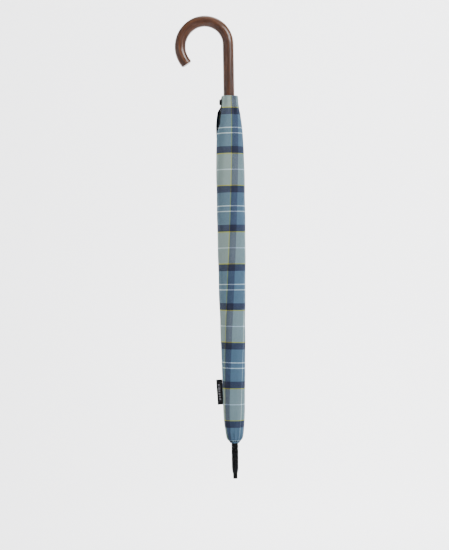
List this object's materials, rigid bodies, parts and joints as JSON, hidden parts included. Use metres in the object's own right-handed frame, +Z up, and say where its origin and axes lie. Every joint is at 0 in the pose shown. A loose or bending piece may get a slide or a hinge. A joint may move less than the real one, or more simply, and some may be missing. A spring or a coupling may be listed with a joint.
{
  "type": "stick umbrella",
  "caption": "Long crook-handled walking umbrella, furled inside a matching check fabric sleeve; the runner slides to spread ribs, stretchers and canopy.",
  "frame": {"origin": "on the shaft's axis at the flat end of the ferrule", "axes": "+Z up the shaft from the ferrule to the crook; the crook curls towards -X; the front of the view is -Y"},
  "size_m": [0.1285, 0.0536, 0.88],
  "materials": {
    "stained_wood": "dark stained hardwood under satin lacquer",
    "collar_metal": "satin black enamel",
    "black_steel": "black electro-coated steel",
    "bright_pin": "drawn steel wire",
    "spring_steel": "rolled spring steel",
    "ferrule_black": "satin black",
    "black_plastic": "moulded nylon",
    "check_cloth": "plain-woven blue, navy, grey-green and yellow check",
    "canopy_cloth": "the same check, proofed and lighter in weight",
    "label_black": "black woven ribbon"
  },
  "bodies": {
    "shaft": {"crook_handle": "stained_wood", "handle_collar": "collar_metal", "handle_pin": "bright_pin", "shaft_tube": "black_steel", "stop_pin": "bright_pin", "ferrule": "ferrule_black", "canopy_washer": "black_steel", "top_notch": "black_plastic", "notch_pins": "bright_pin"},
    "runner": {"runner": "black_plastic"},
    "closed_catch": {"closed_catch": "spring_steel"},
    "open_catch": {"open_catch": "spring_steel"},
    "sleeve": {"sleeve": "check_cloth", "sleeve_label": "label_black"},
    "rib_1": {"rib_1": "black_steel", "rib_tip_1": "black_plastic"},
    "stretcher_1": {"stretcher_1": "black_steel", "rivet_1": "bright_pin"},
    "canopy_1": {"canopy_panel_1": "canopy_cloth"},
    "rib_2": {"rib_2": "black_steel", "rib_tip_2": "black_plastic"},
    "stretcher_2": {"stretcher_2": "black_steel", "rivet_2": "bright_pin"},
    "canopy_2": {"canopy_panel_2": "canopy_cloth"},
    "rib_3": {"rib_3": "black_steel", "rib_tip_3": "black_plastic"},
    "stretcher_3": {"stretcher_3": "black_steel", "rivet_3": "bright_pin"},
    "canopy_3": {"canopy_panel_3": "canopy_cloth"},
    "rib_4": {"rib_4": "black_steel", "rib_tip_4": "black_plastic"},
    "stretcher_4": {"stretcher_4": "black_steel", "rivet_4": "bright_pin"},
    "canopy_4": {"canopy_panel_4": "canopy_cloth"},
    "rib_5": {"rib_5": "black_steel", "rib_tip_5": "black_plastic"},
    "stretcher_5": {"stretcher_5": "black_steel", "rivet_5": "bright_pin"},
    "canopy_5": {"canopy_panel_5": "canopy_cloth"},
    "rib_6": {"rib_6": "black_steel", "rib_tip_6": "black_plastic", "tie_strap": "check_cloth", "tie_snap": "bright_pin"},
    "stretcher_6": {"stretcher_6": "black_steel", "rivet_6": "bright_pin"},
    "canopy_6": {"canopy_panel_6": "canopy_cloth"},
    "rib_7": {"rib_7": "black_steel", "rib_tip_7": "black_plastic"},
    "stretcher_7": {"stretcher_7": "black_steel", "rivet_7": "bright_pin"},
    "canopy_7": {"canopy_panel_7": "canopy_cloth"},
    "rib_8": {"rib_8": "black_steel", "rib_tip_8": "black_plastic"},
    "stretcher_8": {"stretcher_8": "black_steel", "rivet_8": "bright_pin"},
    "canopy_8": {"canopy_panel_8": "canopy_cloth"}
  },
  "joints": [
    {"name": "runner_slide", "type": "slide", "parent": "shaft", "child": "runner", "axis": [0, 0, -1], "range_m": [0, 0.3026], "deforming": ["sleeve", "sleeve_label", "closed_catch", "open_catch", "canopy_panel_1", "canopy_panel_2", "canopy_panel_3", "canopy_panel_4", "canopy_panel_5", "canopy_panel_6", "canopy_panel_7", "canopy_panel_8"]},
    {"name": "rib_1_hinge", "type": "hinge", "parent": "shaft", "child": "rib_1", "pos_m": [0.009, 0, 0.084], "axis": [0, 1, 0], "range_deg": [0, 61.63]},
    {"name": "stretcher_1_hinge", "type": "hinge", "parent": "rib_1", "child": "stretcher_1", "pos_m": [0.02001, 0, 0.35378], "axis": [0, 1, 0], "range_deg": [-123.27, 0]},
    {"name": "canopy_1_turn", "type": "hinge", "parent": "rib_1", "child": "canopy_1", "pos_m": [0.0021, 0.00087, 0.07988], "axis": [-0.8091, -0.3352, -0.4827], "range_deg": [0, 45.22]},
    {"name": "rib_2_hinge", "type": "hinge", "parent": "shaft", "child": "rib_2", "pos_m": [0.00636, 0.00636, 0.084], "axis": [-0.7071, 0.7071, 0], "range_deg": [0, 61.63]},
    {"name": "stretcher_2_hinge", "type": "hinge", "parent": "rib_2", "child": "stretcher_2", "pos_m": [0.01415, 0.01415, 0.35378], "axis": [-0.7071, 0.7071, 0], "range_deg": [-123.27, 0]},
    {"name": "canopy_2_turn", "type": "hinge", "parent": "rib_2", "child": "canopy_2", "pos_m": [0.00087, 0.0021, 0.07988], "axis": [-0.3352, -0.8091, -0.4827], "range_deg": [0, 45.22]},
    {"name": "rib_3_hinge", "type": "hinge", "parent": "shaft", "child": "rib_3", "pos_m": [0, 0.009, 0.084], "axis": [-1, 0, 0], "range_deg": [0, 61.63]},
    {"name": "stretcher_3_hinge", "type": "hinge", "parent": "rib_3", "child": "stretcher_3", "pos_m": [0, 0.02001, 0.35378], "axis": [-1, 0, 0], "range_deg": [-123.27, 0]},
    {"name": "canopy_3_turn", "type": "hinge", "parent": "rib_3", "child": "canopy_3", "pos_m": [-0.00087, 0.0021, 0.07988], "axis": [0.3352, -0.8091, -0.4827], "range_deg": [0, 45.22]},
    {"name": "rib_4_hinge", "type": "hinge", "parent": "shaft", "child": "rib_4", "pos_m": [-0.00636, 0.00636, 0.084], "axis": [-0.7071, -0.7071, 0], "range_deg": [0, 61.63]},
    {"name": "stretcher_4_hinge", "type": "hinge", "parent": "rib_4", "child": "stretcher_4", "pos_m": [-0.01415, 0.01415, 0.35378], "axis": [-0.7071, -0.7071, 0], "range_deg": [-123.27, 0]},
    {"name": "canopy_4_turn", "type": "hinge", "parent": "rib_4", "child": "canopy_4", "pos_m": [-0.0021, 0.00087, 0.07988], "axis": [0.8091, -0.3352, -0.4827], "range_deg": [0, 45.22]},
    {"name": "rib_5_hinge", "type": "hinge", "parent": "shaft", "child": "rib_5", "pos_m": [-0.009, 0, 0.084], "axis": [0, -1, 0], "range_deg": [0, 61.63]},
    {"name": "stretcher_5_hinge", "type": "hinge", "parent": "rib_5", "child": "stretcher_5", "pos_m": [-0.02001, 0, 0.35378], "axis": [0, -1, 0], "range_deg": [-123.27, 0]},
    {"name": "canopy_5_turn", "type": "hinge", "parent": "rib_5", "child": "canopy_5", "pos_m": [-0.0021, -0.00087, 0.07988], "axis": [0.8091, 0.3352, -0.4827], "range_deg": [0, 45.22]},
    {"name": "rib_6_hinge", "type": "hinge", "parent": "shaft", "child": "rib_6", "pos_m": [-0.00636, -0.00636, 0.084], "axis": [0.7071, -0.7071, 0], "range_deg": [0, 61.63]},
    {"name": "stretcher_6_hinge", "type": "hinge", "parent": "rib_6", "child": "stretcher_6", "pos_m": [-0.01415, -0.01415, 0.35378], "axis": [0.7071, -0.7071, 0], "range_deg": [-123.27, 0]},
    {"name": "canopy_6_turn", "type": "hinge", "parent": "rib_6", "child": "canopy_6", "pos_m": [-0.00087, -0.0021, 0.07988], "axis": [0.3352, 0.8091, -0.4827], "range_deg": [0, 45.22]},
    {"name": "rib_7_hinge", "type": "hinge", "parent": "shaft", "child": "rib_7", "pos_m": [0, -0.009, 0.084], "axis": [1, 0, 0], "range_deg": [0, 61.63]},
    {"name": "stretcher_7_hinge", "type": "hinge", "parent": "rib_7", "child": "stretcher_7", "pos_m": [0, -0.02001, 0.35378], "axis": [1, 0, 0], "range_deg": [-123.27, 0]},
    {"name": "canopy_7_turn", "type": "hinge", "parent": "rib_7", "child": "canopy_7", "pos_m": [0.00087, -0.0021, 0.07988], "axis": [-0.3352, 0.8091, -0.4827], "range_deg": [0, 45.22]},
    {"name": "rib_8_hinge", "type": "hinge", "parent": "shaft", "child": "rib_8", "pos_m": [0.00636, -0.00636, 0.084], "axis": [0.7071, 0.7071, 0], "range_deg": [0, 61.63]},
    {"name": "stretcher_8_hinge", "type": "hinge", "parent": "rib_8", "child": "stretcher_8", "pos_m": [0.01415, -0.01415, 0.35378], "axis": [0.7071, 0.7071, 0], "range_deg": [-123.27, 0]},
    {"name": "canopy_8_turn", "type": "hinge", "parent": "rib_8", "child": "canopy_8", "pos_m": [0.0021, -0.00087, 0.07988], "axis": [-0.8091, 0.3352, -0.4827], "range_deg": [0, 45.22]},
    {"name": "sleeve_slide", "type": "slide", "parent": "shaft", "child": "sleeve", "axis": [0, 0, -1], "range_m": [0, 0.75]},
    {"name": "closed_catch_press", "type": "slide", "parent": "shaft", "child": "closed_catch", "axis": [-0.3827, 0.9239, 0], "range_m": [0, 0.0024], "stiffness_N_per_m": 500, "springref_m": -0.0005},
    {"name": "open_catch_press", "type": "slide", "parent": "shaft", "child": "open_catch", "axis": [-0.3827, 0.9239, 0], "range_m": [0, 0.0024], "stiffness_N_per_m": 500, "springref_m": -0.0005}
  ],
  "couplings": [
    {"joint": "rib_1_hinge", "follows": "runner_slide", "rad_per_m": 3.555},
    {"joint": "stretcher_1_hinge", "follows": "runner_slide", "rad_per_m": -7.1099},
    {"joint": "canopy_1_turn", "follows": "runner_slide", "rad_per_m": 2.6084},
    {"joint": "rib_2_hinge", "follows": "runner_slide", "rad_per_m": 3.555},
    {"joint": "stretcher_2_hinge", "follows": "runner_slide", "rad_per_m": -7.1099},
    {"joint": "canopy_2_turn", "follows": "runner_slide", "rad_per_m": 2.6084},
    {"joint": "rib_3_hinge", "follows": "runner_slide", "rad_per_m": 3.555},
    {"joint": "stretcher_3_hinge", "follows": "runner_slide", "rad_per_m": -7.1099},
    {"joint": "canopy_3_turn", "follows": "runner_slide", "rad_per_m": 2.6084},
    {"joint": "rib_4_hinge", "follows": "runner_slide", "rad_per_m": 3.555},
    {"joint": "stretcher_4_hinge", "follows": "runner_slide", "rad_per_m": -7.1099},
    {"joint": "canopy_4_turn", "follows": "runner_slide", "rad_per_m": 2.6084},
    {"joint": "rib_5_hinge", "follows": "runner_slide", "rad_per_m": 3.555},
    {"joint": "stretcher_5_hinge", "follows": "runner_slide", "rad_per_m": -7.1099},
    {"joint": "canopy_5_turn", "follows": "runner_slide", "rad_per_m": 2.6084},
    {"joint": "rib_6_hinge", "follows": "runner_slide", "rad_per_m": 3.555},
    {"joint": "stretcher_6_hinge", "follows": "runner_slide", "rad_per_m": -7.1099},
    {"joint": "canopy_6_turn", "follows": "runner_slide", "rad_per_m": 2.6084},
    {"joint": "rib_7_hinge", "follows": "runner_slide", "rad_per_m": 3.555},
    {"joint": "stretcher_7_hinge", "follows": "runner_slide", "rad_per_m": -7.1099},
    {"joint": "canopy_7_turn", "follows": "runner_slide", "rad_per_m": 2.6084},
    {"joint": "rib_8_hinge", "follows": "runner_slide", "rad_per_m": 3.555},
    {"joint": "stretcher_8_hinge", "follows": "runner_slide", "rad_per_m": -7.1099},
    {"joint": "canopy_8_turn", "follows": "runner_slide", "rad_per_m": 2.6084},
    {"joint": "sleeve_slide", "follows": "runner_slide", "ratio": 2.4785}
  ]
}
